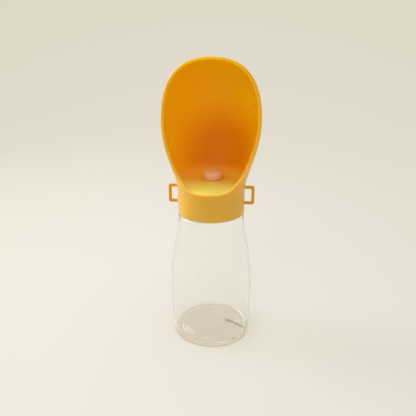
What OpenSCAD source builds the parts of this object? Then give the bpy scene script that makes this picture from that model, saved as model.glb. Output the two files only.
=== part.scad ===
// Travel water bottle for a dog: a clear bottle with a screw-on head whose hooded scoop is the drinking bowl.
// A key at the back of the collar opens a poppet valve, and water runs up through the nub into the scoop.
// Origin: centre of the foot, on the surface it stands on. +Z is up, and the scoop opens towards -Y.

/* [Bottle] */
// Widest diameter of the bottle
bottle_d = 78.4; // [76:0.2:88]
// Height of the widest place above the foot
belly_z = 44.8; // [40:0.2:50]
// Height of the shoulder, where the neck starts
bottle_h = 123.2; // [112:0.2:140]
// Diameter of the flat ring that it stands on
foot_d = 69.2; // [66:0.2:71]
// Radial width of that ring
foot_w = 6; // [4:0.5:8]
// Width of the rounded corner between foot and side
foot_corner_w = 3; // [2:0.1:3.2]
// Height of the rounded corner between foot and side
foot_corner_h = 3.95; // [3:0.05:6]
// Height of the domed base at its middle
punt_h = 6; // [4.5:0.5:9]
// Thickness of the bottle's side
bottle_wall = 1.5; // [1:0.1:2]
// Thickness of the bottle's base
base_wall = 2; // [1.5:0.1:3]
// Radius of the drain groove across the foot ring
groove_r = 6; // [5:0.5:8]
// Depth of the drain groove at the foot's outer edge
groove_depth = 2.4; // [1.5:0.1:2.8]
// Slope of the drain groove, in degrees, falling outwards
groove_fall = 12; // [8:1:14]
// Distance of the groove's inner end from the axis
groove_start = 14; // [12:0.5:20]
// Direction of the drain groove, from +X
groove_angle = -15; // [-30:1:30]
// Radius of the rounded shoulder edge under the collar
shoulder_round = 2; // [1:0.1:3]

/* [Neck and thread] */
// Outer diameter of the neck between its threads
neck_d = 50.4; // [48:0.2:54]
// Height of the neck above the shoulder
neck_h = 10.6; // [10.2:0.1:13]
// Thickness of the neck
neck_wall = 2; // [1.5:0.1:2.5]
// Rise of the thread in one turn
thread_pitch = 4; // [3.6:0.1:4.2]
// Height of the thread's ridge
thread_h = 1.2; // [0.9:0.05:1.4]
// Width of the ridge at its foot
thread_foot_w = 1.9; // [1.6:0.1:2]
// Width of the ridge at its crest
thread_crest_w = 0.9; // [0.6:0.1:1.1]
// Turns of thread on the neck
thread_turns = 1.4; // [1:0.1:1.4]
// Clearance between ridge and opposite wall
thread_gap = 0.4; // [0.3:0.05:0.6]
// Thickness of the neck gasket
gasket_t = 1.4; // [1:0.1:2]

/* [Inner cap and collar] */
// Thickness of the inner cap's skirt
skirt_wall = 1.6; // [1.2:0.1:2.2]
// Thickness of the inner cap's deck
deck_t = 2.2; // [2:0.1:3]
// Clearance between the inner cap and the collar
cap_gap = 0.4; // [0.2:0.05:0.6]
// Thickness of the collar
collar_wall = 2.2; // [2:0.1:3]
// Gap between the bottle's shoulder and the collar
collar_gap = 1.1; // [0.8:0.1:2]
// Thickness of the snap ring that holds the inner cap in the collar
snap_t = 0.9; // [0.7:0.1:1.2]
// Depth of the snap ring's groove in the collar
snap_depth = 0.9; // [0.6:0.1:1]

/* [Scoop] */
// Widest diameter of the scoop
scoop_d = 89; // [82:0.5:96]
// Height of the scoop from its lip to its crown
scoop_h = 113; // [95:0.5:130]
// Height of its widest place above the lip
scoop_widest_h = 58.7; // [52:0.1:64]
// Thickness of the scoop's wall
scoop_wall = 3; // [2.4:0.1:3.6]
// Thickness of the scoop's floor
floor_t = 2.6; // [2:0.1:3.2]
// Rise of the floor from the lip to the outlet
floor_rise = 2.3; // [1:0.1:3.5]
// Width of the narrow land along the lip, outside the sloping floor
lip_land = 1.5; // [1:0.1:2.4]
// Radius of the corner between floor and wall
floor_fillet = 8; // [5:0.5:10]
// Distance of the floor's level part in front of the axis
floor_level_y = 8; // [4:0.5:10]
// Distance from the axis to the rim where its curve turns upwards
rim_turn_y = 16; // [13:0.5:18]
// Height above the lip where the rim's curve turns upwards
rim_turn_h = 19.1; // [15:0.1:24]

/* [Strap loops] */
// Reach of each loop from the bottle's axis
loop_reach = 40; // [38.5:0.5:44]
// Height of each loop
loop_h = 17.7; // [15:0.1:19]
// Thickness of the upright bar
loop_bar = 2.8; // [2.2:0.1:3.4]
// Thickness of the level bars
loop_arm = 2.6; // [2:0.1:3]
// Depth of a loop, front to back
loop_depth = 2.4; // [2:0.1:3.2]
// Distance from the loop's top down to the floor's level part
loop_drop = 2.2; // [1.5:0.1:5]

/* [Key and guard] */
// Width of the key
key_w = 14; // [12:0.5:15]
// Height of the key
key_h = 9; // [8:0.2:10]
// Thickness of the key
key_t = 5.3; // [4.8:0.1:6]
// Travel of the key and the valve
key_travel = 3.5; // [2.5:0.1:3.8]
// How far the key's pad stands out behind the collar
pad_proud = 2; // [1.5:0.1:3]
// Clearance around the key and around the guard
slide_gap = 0.3; // [0.2:0.05:0.4]
// Thickness of the guard's tongues
tongue_t = 1; // [0.8:0.1:1.4]
// Height of the guard
guard_h = 10.4; // [9.8:0.1:10.8]
// Travel of the guard
guard_travel = 11; // [10.9:0.1:11.4]

/* [Valve] */
// Distance of the outlet behind the axis
outlet_y = 12.5; // [11:0.1:13.5]
// Radius of the valve's inlet and outlet ports
port_r = 2.5; // [2:0.1:2.8]
// Radius of the spring chamber
chamber_r = 3.8; // [3.7:0.05:4.2]
// Radius of the bore that the stem slides in
stem_bore_r = 3.2; // [3:0.05:3.4]
// Radius of the throat behind the seat
throat_r = 2.4; // [2.2:0.05:2.7]
// Length of the throat
throat_len = 2; // [1.5:0.1:2.5]
// Thickness of the barrel around the chamber
barrel_wall = 1.2; // [1:0.1:1.6]
// Radius of the stem
stem_r = 1.5; // [1.2:0.05:1.6]
// Radial clearance of the sliding stem
stem_fit = 0.08; // [0.05:0.01:0.1]
// Thickness of the poppet
poppet_t = 2; // [1.6:0.1:2.4]
// Thickness of the poppet's seal
poppet_seal_t = 0.8; // [0.6:0.1:1.2]
// Thickness of the O-rings
o_ring_t = 1.2; // [1:0.1:1.3]
// Thickness of the spring's wire
wire_t = 0.7; // [0.5:0.05:0.8]
// Turns of the spring
spring_turns = 4.5; // [3.5:0.5:5]

/* [Outlet nub] */
// Diameter of the soft nub in the scoop
nub_d = 18; // [16:0.5:20]
// Height of the nub above the floor
nub_h = 8; // [7:0.5:10]
// Thickness of the nub's skin
nub_skin = 1.4; // [1:0.1:2]
// Thickness of the nub's flange under the floor
nub_flange_t = 1.3; // [1:0.1:1.6]

/* [Hidden] */
$fn = 96;
eps = 0.01;
seat_fit = 0.05; // radial clearance of pieces that are pushed together
o_ring_slack = 0.04; // how much thinner an O-ring is than its groove
through = 60; // longer than any wall that a cut passes

// How far the outlines' curves run on in the direction of each end
side_pull_foot = [0.8, 7.35];
side_pull_belly_down = 29.9;
side_pull_belly_up = 39.6;
side_pull_shoulder = 13.35;
flare_pull_foot = 14.6;
flare_pull_wide = 28.1;
crown_share_up = 0.53;
crown_share_in = 0.77;
rim_pull_lip = [5, 0.5];
rim_pull_turn = [3, 11];
rim_pull_crown = [5.5, 48];

// Neck stack, from the neck outwards
neck_r = neck_d / 2;
neck_bore_r = neck_r - neck_wall;
thread_r = neck_r + thread_h;
skirt_ir = thread_r + thread_gap;
skirt_or = skirt_ir + skirt_wall;
collar_ir = skirt_or + cap_gap;
collar_r = collar_ir + collar_wall;
bottle_r = bottle_d / 2;
foot_r = foot_d / 2;
scoop_r = scoop_d / 2;
neck_round_drop = 8.45; // from the shoulder down to the bottle's straight part
flare_drop = 4.1; // from the lip down to the collar's straight part

// Heights, from the shoulder upwards
neck_top = bottle_h + neck_h;
deck_z0 = neck_top + gasket_t;
deck_z1 = deck_z0 + deck_t;
barrel_r = chamber_r + barrel_wall;
valve_z = deck_z1 + barrel_r + 0.2;
floor_z0 = valve_z + barrel_r + nub_flange_t + 0.7;
floor_z1 = floor_z0 + floor_t;
lip_z = floor_z1 - floor_rise;
crown_z = lip_z + scoop_h;
collar_z0 = bottle_h + collar_gap;
collar_lip_h = 0.7; // of the collar below the snap ring's groove
snap_z0 = collar_z0 + collar_lip_h;
skirt_z0 = snap_z0 + snap_t + 2 * seat_fit;

// Stations along the valve, from the key inwards
port_margin = 1.5; // wall beside a port, and room beyond the pressed key
poppet_clear = 1.2; // from the pressed poppet to the inlet port
plug_len = 3;
plug_head_t = 1.5;
spigot_wall = 1.4;
spigot_reach = 3; // below the deck
plate_t = 1.6;
land_w = 0.6; // of the stem's rings beside its seal
stem_step = 0.3; // how much the stem's nose is thinner
pilot_len = 1.2; // of the pins that centre the spring
key_recess = 0.2; // of the key behind its pad
pad_y = collar_r + pad_proud;
key_y1 = pad_y - key_recess;
key_y0 = key_y1 - key_t;
barrel_y1 = key_y0 - key_travel - port_margin;
seal_y = outlet_y + port_r + key_travel + o_ring_t / 2 + slide_gap;
seat_y = outlet_y - port_r - port_margin - throat_len;
poppet_y1 = seat_y - poppet_seal_t;
poppet_y0 = poppet_y1 - poppet_t;
inlet_y = poppet_y0 - key_travel - poppet_clear - port_r;
plug_y1 = inlet_y - port_r - port_margin;
barrel_y0 = plug_y1 - plug_len;
plug_seal_y = plug_y1 - plug_len / 2;
spigot_r = port_r + spigot_wall;
poppet_r = stem_bore_r + 0.1;
spring_r = chamber_r - wire_t / 2 - 0.75;
pilot_r = spring_r - wire_t / 2 - 0.25;
plate_w = 2 * (spigot_r + o_ring_t + 1.3);

// Thread places
thread_z = bottle_h + thread_foot_w / 2 + 2.25; // middle of the neck's ridge at its lower end
cap_thread_lead = 120; // degrees by which the cap's ridge starts ahead of the neck's
thread_bite = 0.5; // how deep a ridge is rooted in its wall
gasket_inset = 0.2;

// Rounding of the strap loops, outside and in their gaps
loop_round = 2.2;
loop_gap_round = 1;

// Key, pad and guard
key_z = valve_z;
key_socket = 3; // depth of the stem's hole in the key
dish_r = 26; // of the key's hollow face
dish_depth = 0.5;
guard_w = key_w + 3.2;
rail_x = guard_w / 2 + slide_gap;
rail_w = 1.7;
rail_lip = 1.4;
rail_y = pad_y + tongue_t + 2 * slide_gap;
rail_t = 1.2;
pad_w = 2 * (rail_x + rail_w) + 2.8;
guard_z0 = key_z - key_h / 2 - slide_gap - guard_travel;
rail_z0 = guard_z0 - slide_gap;
rail_z1 = guard_z0 + guard_h + guard_travel + slide_gap;
stop_h = 0.8;

// Screws that hold the valve on the deck
screw_x = plate_w / 2 + 2.8;
screw_y = 6;
screw_r = 1.15;
screw_head_r = 2.2;
ear_t = 2.4;
ear_r = 3;
boss_h = 4.4; // below the deck
boss_r = ear_r - 0.2;
boss_floor = 0.6;
screw_head_t = 1.5;
screw_slot_w = 0.8;

snap_mouth = 6; // gap between the snap ring's ends
rib_in = 1.2; // how far the collar's ribs reach in
rib_w = 1.6;
spline_w = 2.4; // of the ribs that the inner cap is keyed to

// Vent valve in the deck
vent_x = -13;
vent_y = -7;
vent_stem_r = 1.4;

// Strainer cup under the inlet
cup_wall = 1;
cup_h = 5;
strainer_hole_r = 0.7;
strainer_slot_w = 1.2;

// Nub and the spigot inside it
nub_r = nub_d / 2;
nub_neck_r = nub_r - 2.5;
nub_flange_r = nub_r - 0.8;
spigot_top = floor_z1 + nub_h - nub_skin - 1.8;

shell_orange = [0.87, 0.55, 0.13];
clear_plastic = [0.86, 0.9, 0.9, 0.45];
soft_white = [0.93, 0.86, 0.82];
white_plastic = [0.93, 0.93, 0.9];
steel = [0.75, 0.76, 0.78];
seal_grey = [0.55, 0.57, 0.6];

function bez(a, b, c, d, t) =
  a * pow(1 - t, 3) + b * 3 * t * pow(1 - t, 2) + c * 3 * t * t * (1 - t) + d * pow(t, 3);

// Points of a curve after its first one
function curve(a, b, c, d, n) = [for (i = [1 : n]) bez(a, b, c, d, i / n)];

function arc(cx, cy, r, a0, a1, n) =
  [for (i = [0 : n]) [cx + r * cos(a0 + (a1 - a0) * i / n), cy + r * sin(a0 + (a1 - a0) * i / n)]];

module spun(points) {
  rotate_extrude() polygon(points);
}

// A cylinder along Y at the valve's height
module along_y(r, y0, y1) {
  translate([0, y0, valve_z])
    rotate([-90, 0, 0])
      cylinder(r = r, h = y1 - y0);
}

// A ring around Y at the valve's height
module ring_y(r0, r1, y0, y1) {
  difference() {
    along_y(r1, y0, y1);
    along_y(r0, y0 - 1, y1 + 1);
  }
}

// Groove for an O-ring on a rod that fits a bore of radius r
module seal_groove(r, y) {
  half = o_ring_t / 2 + o_ring_slack;
  ring_y(r - o_ring_t - 2 * o_ring_slack, through, y - half, y + half);
}

module o_ring(r) {
  rotate_extrude()
    translate([r, 0])
      circle(d = o_ring_t - o_ring_slack, $fn = 24);
}

// An outline in Y and Z, drawn out along X
module yz_sheet(points, half) {
  rotate([90, 0, 90])
    translate([0, 0, -half])
      linear_extrude(2 * half) polygon(points);
}

// A rectangle with round corners, centred
module round_rect(w, h, r) {
  square([w - 2 * r, h], center = true);
  square([w, h - 2 * r], center = true);
  for (x = [-1, 1])
    for (y = [-1, 1])
      translate([x * (w / 2 - r), y * (h / 2 - r)])
        circle(r, $fn = 32);
}

// A round-cornered block along Y, centred on the key
module key_block(w, h, r, y0, y1) {
  translate([0, y1, key_z])
    rotate([90, 0, 0])
      linear_extrude(y1 - y0) round_rect(w, h, r);
}

// A right-hand ridge wound round Z. Its section is a trapezoid from r_a to r_b, and its ends run out.
module ridge(r_a, r_b, w_a, w_b, crest_is_b, z, a0, turns) {
  steps = ceil(turns * 24);
  ramp = 2;
  function run(i) = max(0.12, min(1, i / ramp, (steps - i) / ramp));
  function ra(i) = crest_is_b ? r_a : r_b + (r_a - r_b) * run(i);
  function rb(i) = crest_is_b ? r_a + (r_b - r_a) * run(i) : r_b;
  function spot(r, i, dz) =
    let (a = a0 + 360 * turns * i / steps)
    [r * cos(a), r * sin(a), z + thread_pitch * (a - a0) / 360 + dz];
  points = [
    for (i = [0 : steps])
      each [spot(ra(i), i, -w_a / 2), spot(rb(i), i, -w_b / 2), spot(rb(i), i, w_b / 2), spot(ra(i), i, w_a / 2)]
  ];
  sides = [
    for (i = [0 : steps - 1])
      for (j = [0 : 3])
        let (k = (j + 1) % 4)
        each [[4 * i + j, 4 * i + k, 4 * i + 4 + k], [4 * i + j, 4 * i + 4 + k, 4 * i + 4 + j]]
  ];
  e = 4 * steps;
  polyhedron(points, concat(sides, [[2, 1, 0], [3, 2, 0], [e, e + 1, e + 2], [e, e + 2, e + 3]]), convexity = 8);
}

// Side of the bottle, from the corner of the foot to the shoulder, drawn in by the wall
function bottle_side(wall) =
  let (
    corner = [foot_r + foot_corner_w - wall, foot_corner_h],
    belly = [bottle_r - wall, belly_z],
    shoulder = [collar_r - wall, bottle_h - neck_round_drop]
  )
  concat(
    [corner],
    curve(corner, corner + side_pull_foot, belly - [0, side_pull_belly_down], belly, 10),
    curve(belly, belly + [0, side_pull_belly_up], shoulder - [0, side_pull_shoulder], shoulder, 12)
  );

// Underside of the base, from the axis to the foot ring, raised by the wall
function base_line(wall) =
  let (edge_r = foot_r - foot_w - 2.6, edge_h = punt_h * 0.53)
  concat(
    [for (i = [0 : 6]) [edge_r * i / 6, wall + edge_h + (punt_h - edge_h) * (1 - pow(i / 6, 2))]],
    [[foot_r - foot_w + 0.6 * wall, wall], [foot_r - 0.4 * wall, wall]]
  );

// Its crest leaves the foot's outer edge groove_depth above the surface, and climbs inwards to start_r
module drain_groove(r, start_r) {
  run = (foot_r - start_r) / cos(groove_fall);
  rotate([0, 0, groove_angle])
    translate([foot_r, 0, groove_depth])
      rotate([0, 90 + groove_fall, 0])
        translate([groove_r, 0, -run])
          cylinder(r = r, h = through);
}

module bottle() {
  foot_curve = [
    for (i = [1 : 5])
      [foot_r + foot_corner_w * sin(90 * i / 6), foot_corner_h * (1 - cos(90 * i / 6))]
  ];
  color(clear_plastic)
    union() {
      difference() {
        spun(concat(
          base_line(0),
          foot_curve,
          bottle_side(0),
          arc(collar_r - shoulder_round, bottle_h - shoulder_round, shoulder_round, 0, 90, 4),
          [[neck_r, bottle_h], [neck_r, neck_top], [0, neck_top]]
        ));
        difference() {
          spun(concat(
            base_line(base_wall),
            bottle_side(bottle_wall),
            arc(collar_r - shoulder_round, bottle_h - shoulder_round, shoulder_round - bottle_wall, 0, 90, 2),
            [[neck_bore_r, bottle_h - bottle_wall], [neck_bore_r, neck_top + 1], [0, neck_top + 1]]
          ));
          drain_groove(groove_r + base_wall, groove_start - base_wall);
        }
        drain_groove(groove_r, groove_start);
      }
      ridge(
        neck_r - thread_bite, thread_r, thread_foot_w, thread_crest_w, true,
        thread_z, 0, thread_turns
      );
    }
}

module neck_gasket() {
  color(soft_white)
    spun([
      [neck_bore_r + gasket_inset, neck_top], [thread_r - gasket_inset, neck_top],
      [thread_r - gasket_inset, deck_z0], [neck_bore_r + gasket_inset, deck_z0]
    ]);
}

// Outer side of the head, drawn in by the wall, from the flare's foot to the crown
function scoop_side(wall) =
  let (
    foot = [collar_r - wall, lip_z - flare_drop],
    wide = [scoop_r - wall, lip_z + scoop_widest_h],
    crown = [0, crown_z - wall]
  )
  concat(
    [foot],
    curve(foot, foot + [0, flare_pull_foot], wide - [0, flare_pull_wide], wide, 12),
    curve(
      wide, wide + [0, crown_share_up * (crown[1] - wide[1])],
      crown + [crown_share_in * wide[0], 0], crown, 12
    )
  );

// Hollow of the scoop: level floor, round corner, then the wall
module scoop_hollow() {
  wall_line = scoop_side(scoop_wall);
  top_z = floor_z1 + floor_fillet;
  corner_r = lookup(top_z, [for (p = wall_line) [p[1], p[0]]]);
  spun(concat(
    [[0, floor_z1]],
    arc(corner_r - floor_fillet, top_z, floor_fillet, -90, 0, 6),
    [for (p = wall_line) if (p[1] > top_z + 1) p]
  ));
}

// The floor's front part slopes down to the lip
module floor_slope() {
  slope_end_y = -collar_r - 5;
  slope_end_z = floor_z1 - floor_rise * (-floor_level_y - slope_end_y) / (collar_r - floor_level_y);
  intersection() {
    translate([0, lip_land - scoop_wall, lip_z - 3])
      cylinder(r = collar_r - scoop_wall, h = 3 + floor_rise + 4);
    yz_sheet([
      [slope_end_y, slope_end_z], [-floor_level_y, floor_z1],
      [-floor_level_y, floor_z1 + 9], [slope_end_y, floor_z1 + 9]
    ], through);
  }
}

// All that lies in front of the rim's curve
module rim_cut() {
  lip = [-collar_r, lip_z];
  turn = [-rim_turn_y, lip_z + rim_turn_h];
  crown = [0, crown_z];
  yz_sheet(concat(
    [[-2 * through, lip_z], lip],
    curve(lip, lip + rim_pull_lip, turn - rim_pull_turn, turn, 9),
    curve(turn, turn + rim_pull_turn, crown - rim_pull_crown, crown, 9),
    [[0, crown_z + through], [-2 * through, crown_z + through]]
  ), through);
}

// Room for the inner cap and the valve, under a floor of even thickness
module collar_bore() {
  front_y = -collar_r - 5;
  front_z = floor_z0 - floor_rise * (-floor_level_y - 4 - front_y) / (collar_r - floor_level_y);
  intersection() {
    translate([0, 0, collar_z0 - 1])
      cylinder(r = collar_ir, h = floor_z0 - collar_z0 + 5);
    yz_sheet([
      [front_y, collar_z0 - 5], [front_y, front_z], [-floor_level_y - 4, floor_z0],
      [through, floor_z0], [through, collar_z0 - 5]
    ], through);
  }
}

module strap_loop(side) {
  inner_x = collar_ir + collar_wall / 2;
  top_z = floor_z1 - loop_drop;
  w = loop_reach - inner_x;
  gap_w = loop_reach - loop_bar - collar_r;
  translate([side * (inner_x + w / 2), loop_depth / 2, top_z - loop_h / 2])
    rotate([90, 0, 0])
      linear_extrude(loop_depth)
        difference() {
          union() {
            translate([side * w / 4, 0]) round_rect(w / 2, loop_h, loop_round);
            translate([-side * w / 8, 0]) square([w * 0.75, loop_h], center = true);
          }
          translate([side * (collar_r + gap_w / 2 - inner_x - w / 2), 0])
            round_rect(gap_w, loop_h - 2 * loop_arm, loop_gap_round);
        }
}

// Pad around the key, with the rails that the guard slides in
module key_pad() {
  translate([-pad_w / 2, collar_ir - 3, rail_z0 - stop_h])
    cube([pad_w, pad_y - collar_ir + 3, rail_z1 - rail_z0 + 2 * stop_h]);
  for (side = [-1, 1]) {
    translate([side * (rail_x + rail_w / 2), pad_y - 1 + (rail_y + rail_t - pad_y + 1) / 2, (rail_z0 + rail_z1) / 2])
      cube([rail_w, rail_y + rail_t - pad_y + 1, rail_z1 - rail_z0 + 2 * stop_h], center = true);
    translate([side * (rail_x + rail_w - (rail_w + rail_lip) / 2), rail_y + rail_t / 2, (rail_z0 + rail_z1) / 2])
      cube([rail_w + rail_lip, rail_t, rail_z1 - rail_z0 + 2 * stop_h], center = true);
  }
  for (z = [rail_z0 - stop_h, rail_z1])
    translate([-rail_x - 0.5, pad_y - 1, z])
      cube([2 * rail_x + 1, tongue_t + 1, stop_h]);
}

// Ribs inside the collar: a is the angle, and each reaches down to z0
module collar_rib(a, w, z0) {
  rotate([0, 0, a])
    translate([collar_ir - rib_in, -w / 2, z0])
      cube([rib_in + 0.5, w, floor_z0 - z0 + 0.5]);
}

module head_shell() {
  color(shell_orange)
    difference() {
      union() {
        difference() {
          union() {
            spun(concat(
              [[0, collar_z0], [collar_r - 0.5, collar_z0], [collar_r, collar_z0 + 0.5]],
              scoop_side(0)
            ));
            strap_loop(1);
            strap_loop(-1);
            key_pad();
          }
          scoop_hollow();
          floor_slope();
          rim_cut();
          collar_bore();
        }
        for (a = [22.5 : 45 : 359])
          collar_rib(a, rib_w, deck_z1);
        for (a = [45 : 90 : 359])
          collar_rib(a, spline_w, deck_z0 + 0.2);
      }
      translate([0, 0, snap_z0])
        cylinder(r = collar_ir + snap_depth, h = snap_t + 2 * seat_fit);
      key_block(key_w + 2 * slide_gap, key_h + 2 * slide_gap, 2 + slide_gap, key_y0 - key_travel - 3, pad_y + 1);
      translate([0, outlet_y, floor_z0 - 1])
        cylinder(r = nub_neck_r + seat_fit, h = floor_t + 2);
    }
}

module inner_cap() {
  ridge_turns = thread_turns + 0.05;
  color(white_plastic)
    union() {
      difference() {
        union() {
          spun([
            [0, deck_z0], [skirt_ir, deck_z0], [skirt_ir, skirt_z0],
            [skirt_or, skirt_z0], [skirt_or, deck_z1], [0, deck_z1]
          ]);
          for (side = [-1, 1])
            translate([side * screw_x, screw_y, deck_z0 - boss_h])
              cylinder(r = boss_r, h = boss_h + 1);
        }
        for (a = [45 : 90 : 359])
          rotate([0, 0, a])
            translate([collar_ir - rib_in - slide_gap, -spline_w / 2 - slide_gap, deck_z0 + 0.1])
              cube([5, spline_w + 2 * slide_gap, deck_t + 1]);
        translate([0, inlet_y, deck_z0 - 1])
          cylinder(r = spigot_r + seat_fit, h = deck_t + 2);
        translate([0, inlet_y, deck_z1 - o_ring_t])
          cylinder(r = spigot_r + seat_fit + o_ring_t + 2 * o_ring_slack, h = o_ring_t + 1);
        for (side = [-1, 1])
          translate([side * screw_x, screw_y, deck_z0 - boss_h + boss_floor])
            cylinder(r = screw_r + seat_fit, h = boss_h + deck_t + 1);
        translate([vent_x, vent_y, deck_z0 - 1])
          cylinder(r = vent_stem_r + seat_fit, h = deck_t + 2);
        for (a = [0 : 120 : 359])
          translate([vent_x + 3 * cos(a), vent_y + 3 * sin(a), deck_z0 - 1])
            cylinder(r = 0.8, h = deck_t + 2);
      }
      ridge(
        neck_r + thread_gap, skirt_ir + thread_bite, thread_crest_w, thread_foot_w, false,
        thread_z + thread_pitch * (1 / 2 - cap_thread_lead / 360), -cap_thread_lead, ridge_turns
      );
    }
}

module snap_ring() {
  color(steel)
    difference() {
      translate([0, 0, snap_z0 + seat_fit])
        cylinder(r = collar_ir + snap_depth - 2 * seat_fit, h = snap_t);
      translate([0, 0, snap_z0 - 1])
        cylinder(r = skirt_ir + 0.3, h = snap_t + 2);
      translate([0, -snap_mouth / 2, snap_z0 - 1])
        cube([through, snap_mouth, snap_t + 2]);
    }
}

module valve_body() {
  color(white_plastic)
    difference() {
      union() {
        along_y(barrel_r, barrel_y0, barrel_y1);
        translate([-chamber_r, barrel_y0, deck_z1])
          cube([2 * chamber_r, barrel_y1 - barrel_y0, valve_z - deck_z1]);
        translate([-plate_w / 2, inlet_y - plate_w / 2, deck_z1])
          cube([plate_w, screw_y + ear_r - inlet_y + plate_w / 2, plate_t]);
        translate([-screw_x, screw_y - ear_r, deck_z1])
          cube([2 * screw_x, 2 * ear_r, ear_t]);
        for (side = [-1, 1])
          translate([side * screw_x, screw_y, deck_z1])
            cylinder(r = ear_r, h = ear_t);
        translate([0, inlet_y, deck_z0 - spigot_reach])
          cylinder(r = spigot_r, h = valve_z - deck_z0 + spigot_reach);
        translate([0, outlet_y, valve_z])
          cylinder(r = spigot_r, h = spigot_top - valve_z);
      }
      along_y(chamber_r, barrel_y0 - 1, seat_y);
      along_y(throat_r, seat_y - 1, seat_y + throat_len + 1);
      along_y(stem_bore_r, seat_y + throat_len, barrel_y1 + 1);
      translate([0, inlet_y, deck_z0 - spigot_reach - 1])
        cylinder(r = port_r, h = valve_z - deck_z0 + spigot_reach + 1);
      translate([0, outlet_y, valve_z])
        cylinder(r = port_r, h = spigot_top - valve_z + 1);
      for (side = [-1, 1])
        translate([side * screw_x, screw_y, deck_z1 - 1])
          cylinder(r = screw_r + 0.15, h = ear_t + 2);
    }
}

module valve_screws() {
  top = deck_z1 + ear_t;
  color(steel)
    for (side = [-1, 1])
      translate([side * screw_x, screw_y, 0])
        difference() {
          union() {
            translate([0, 0, deck_z0 - boss_h + 1.5 * boss_floor])
              cylinder(r = screw_r, h = top - deck_z0 + boss_h - 1.5 * boss_floor + eps);
            translate([0, 0, top])
              cylinder(r = screw_head_r, h = screw_head_t);
          }
          translate([-screw_slot_w / 2, -through / 2, top + screw_head_t / 2])
            cube([screw_slot_w, through, screw_head_t]);
        }
}

module port_seal() {
  color(seal_grey)
    translate([0, inlet_y, deck_z1 - o_ring_t / 2])
      o_ring(spigot_r + seat_fit + o_ring_t / 2 + o_ring_slack);
}

module end_plug() {
  color(white_plastic)
    difference() {
      union() {
        along_y(barrel_r, barrel_y0 - plug_head_t, barrel_y0);
        along_y(chamber_r - seat_fit, barrel_y0 - eps, plug_y1);
        along_y(pilot_r, plug_y1 - eps, plug_y1 + pilot_len);
      }
      seal_groove(chamber_r, plug_seal_y);
    }
}

module end_plug_seal() {
  color(seal_grey)
    translate([0, plug_seal_y, valve_z])
      rotate([90, 0, 0])
        o_ring(chamber_r - o_ring_t / 2 - o_ring_slack);
}

// Perforated cup over the inlet, which keeps ice and grit out of the valve
module inlet_strainer() {
  cup_r = spigot_r + seat_fit + cup_wall;
  cup_z0 = deck_z0 - spigot_reach - cup_h;
  color(white_plastic)
    translate([0, inlet_y, 0])
      difference() {
        translate([0, 0, cup_z0])
          cylinder(r = cup_r, h = deck_z0 - cup_z0 - slide_gap);
        translate([0, 0, cup_z0 + cup_wall])
          cylinder(r = spigot_r + seat_fit, h = deck_z0 - cup_z0);
        for (a = [0 : 60 : 359])
          rotate([0, 0, a]) {
            translate([spigot_r * 2 / 3, 0, cup_z0 - 1])
              cylinder(r = strainer_hole_r, h = cup_wall + 2);
            translate([1, -strainer_slot_w / 2, cup_z0 + 1.4 * cup_wall])
              cube([cup_r, strainer_slot_w, cup_h - 2 * cup_wall]);
          }
      }
}

// Umbrella valve: the soft disc under the deck lets air in and holds the water back
module vent_valve() {
  color(soft_white)
    translate([vent_x, vent_y, 0])
      spun([
        [0, deck_z0 - 1.3], [2, deck_z0 - 1.2], [4.4, deck_z0 - 0.6], [4.6, deck_z0],
        [vent_stem_r, deck_z0], [vent_stem_r, deck_z1], [2.1, deck_z1], [2.1, deck_z1 + 0.5],
        [1, deck_z1 + 2.2], [0, deck_z1 + 2.2]
      ]);
}

module outlet_nub() {
  round_r = 3;
  socket_r = spigot_r + seat_fit;
  top_z = floor_z1 + nub_h;
  color(soft_white)
    translate([0, outlet_y, 0])
      difference() {
        spun(concat(
          [
            [socket_r, floor_z0 - nub_flange_t], [nub_flange_r, floor_z0 - nub_flange_t],
            [nub_flange_r, floor_z0], [nub_neck_r, floor_z0], [nub_neck_r, floor_z1], [nub_r, floor_z1]
          ],
          arc(nub_r - round_r, top_z - round_r, round_r, 0, 80, 6),
          [[0, top_z], [0, top_z - nub_skin], [socket_r + 1.2, top_z - nub_skin], [socket_r, top_z - nub_skin - 1.2]]
        ));
        for (a = [0, 90])
          rotate([0, 0, a])
            translate([-3.2, -0.25, top_z - nub_skin - 1])
              cube([6.4, 0.5, nub_skin + 2]);
      }
}

module return_spring() {
  y0 = plug_y1 + wire_t / 2 + 0.05;
  y1 = poppet_y0 - wire_t / 2 - 0.05;
  rings = 8;
  sides = 6;
  last = spring_turns * rings;
  slope = atan((y1 - y0) / spring_turns / (2 * PI * spring_r));
  function spot(i, j) =
    let (
      a = 360 * i / rings,
      b = 360 * j / sides,
      r = spring_r + wire_t / 2 * cos(b),
      lift = wire_t / 2 * sin(b)
    )
    [
      r * cos(a) + lift * sin(slope) * sin(a),
      y0 + (y1 - y0) * i / last + lift * cos(slope),
      r * sin(a) - lift * sin(slope) * cos(a)
    ];
  // Least gap between one turn and the next, measured on points of the wire's surface
  turn_gap = min([
    for (i = [0 : last - rings])
      for (j = [0 : sides - 1])
        for (k = [0 : sides - 1])
          for (s = [-1 : 1])
            if (i + rings + s <= last) norm(spot(i, j) - spot(i + rings + s, k))
  ]);
  echo(least_gap_between_turns_mm = turn_gap);
  points = [for (i = [0 : last]) for (j = [0 : sides - 1]) spot(i, j)];
  skin = [
    for (i = [0 : last - 1])
      for (j = [0 : sides - 1])
        let (k = (j + 1) % sides, p = sides * i, q = sides * (i + 1))
        each [[p + j, p + k, q + k], [p + j, q + k, q + j]]
  ];
  caps = [[for (j = [0 : sides - 1]) sides - 1 - j], [for (j = [0 : sides - 1]) sides * last + j]];
  color(steel)
    translate([0, 0, valve_z])
      polyhedron(points, concat(skin, caps), convexity = 10);
}

module poppet() {
  color(white_plastic)
    difference() {
      union() {
        along_y(poppet_r, poppet_y0, poppet_y1);
        along_y(pilot_r, poppet_y0 - pilot_len, poppet_y0 + eps);
      }
      along_y(stem_r - stem_step + seat_fit, poppet_y0 - 1, poppet_y1 + 1);
    }
}

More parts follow.
